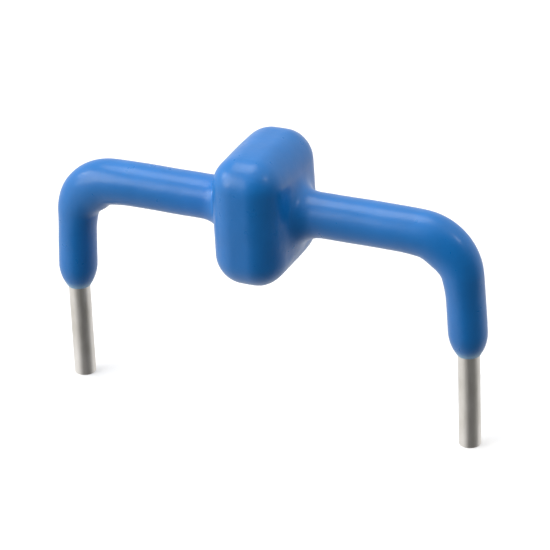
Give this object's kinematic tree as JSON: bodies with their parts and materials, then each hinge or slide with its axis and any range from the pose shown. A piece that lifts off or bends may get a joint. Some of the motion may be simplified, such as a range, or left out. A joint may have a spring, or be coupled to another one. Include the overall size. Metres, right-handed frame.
{
  "type": "transient voltage suppressor diode",
  "caption": "High-power surge-clamping diode: square chip stack dipped in glossy blue epoxy, coated runs bent down into bare round pins for a circuit board.",
  "frame": {"origin": "midway between the two pins, at the level of the lead tips", "axes": "+X along the leads from the left pin to the right pin, +Y across the body, +Z from the board up to the body"},
  "size_m": [0.0268, 0.0074, 0.017],
  "materials": {
    "blue_epoxy": "gloss",
    "tinned_copper": "satin",
    "copper": "satin",
    "silicon": "gloss",
    "solder": "satin"
  },
  "bodies": {
    "root": {"coating": "blue_epoxy", "lead_left": "tinned_copper", "lead_right": "tinned_copper", "chip_1": "silicon", "chip_2": "silicon", "chip_3": "silicon", "chip_4": "silicon", "spacer_1": "copper", "spacer_2": "copper", "spacer_3": "copper", "electrode_left": "copper", "electrode_right": "copper", "chip_solder_1": "solder", "chip_solder_2": "solder", "chip_solder_3": "solder", "chip_solder_4": "solder", "chip_solder_5": "solder", "chip_solder_6": "solder", "chip_solder_7": "solder", "chip_solder_8": "solder", "lead_solder_left": "solder", "lead_solder_right": "solder"}
  },
  "joints": []
}
